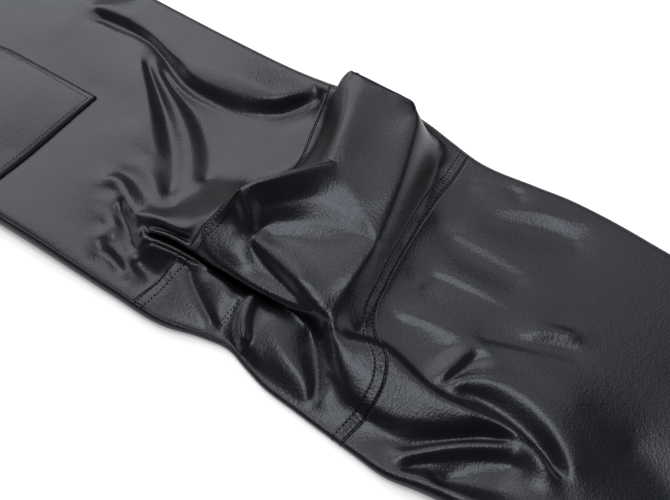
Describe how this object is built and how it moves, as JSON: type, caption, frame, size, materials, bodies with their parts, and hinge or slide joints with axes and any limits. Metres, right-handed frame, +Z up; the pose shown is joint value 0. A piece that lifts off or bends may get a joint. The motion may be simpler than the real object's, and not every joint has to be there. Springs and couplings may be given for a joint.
{
  "type": "coated cargo trousers laid flat with a bunched knee",
  "caption": "Glossy black coated cargo trousers laid front up with legs apart; a knee is pushed up into deep folds between its cross seams.",
  "frame": {"origin": "on the floor below the middle of the whole garment's box", "axes": "+X from the waist to the hems along the centre line, +Y towards the wearer's left leg, +Z up from the floor the trousers lie on"},
  "size_m": [1.0098, 0.9371, 0.0549],
  "materials": {
    "coated_cloth": "near-black coated cloth, semi-gloss with a fine grain",
    "button_metal": "dark satin metal"
  },
  "bodies": {
    "root": {"front_thigh_right": "coated_cloth", "front_knee_right": "coated_cloth", "front_shin_right": "coated_cloth", "back_right": "coated_cloth", "front_thigh_left": "coated_cloth", "front_knee_left": "coated_cloth", "front_shin_left": "coated_cloth", "back_left": "coated_cloth", "waistband_front_right": "coated_cloth", "waistband_front_left": "coated_cloth", "waistband_back_right": "coated_cloth", "waistband_back_left": "coated_cloth", "belt_loop_1": "coated_cloth", "belt_loop_2": "coated_cloth", "belt_loop_3": "coated_cloth", "belt_loop_4": "coated_cloth", "cargo_pocket_right": "coated_cloth", "cargo_pocket_left": "coated_cloth", "cargo_flap_right": "coated_cloth", "cargo_flap_left": "coated_cloth", "waist_button": "button_metal"}
  },
  "joints": []
}
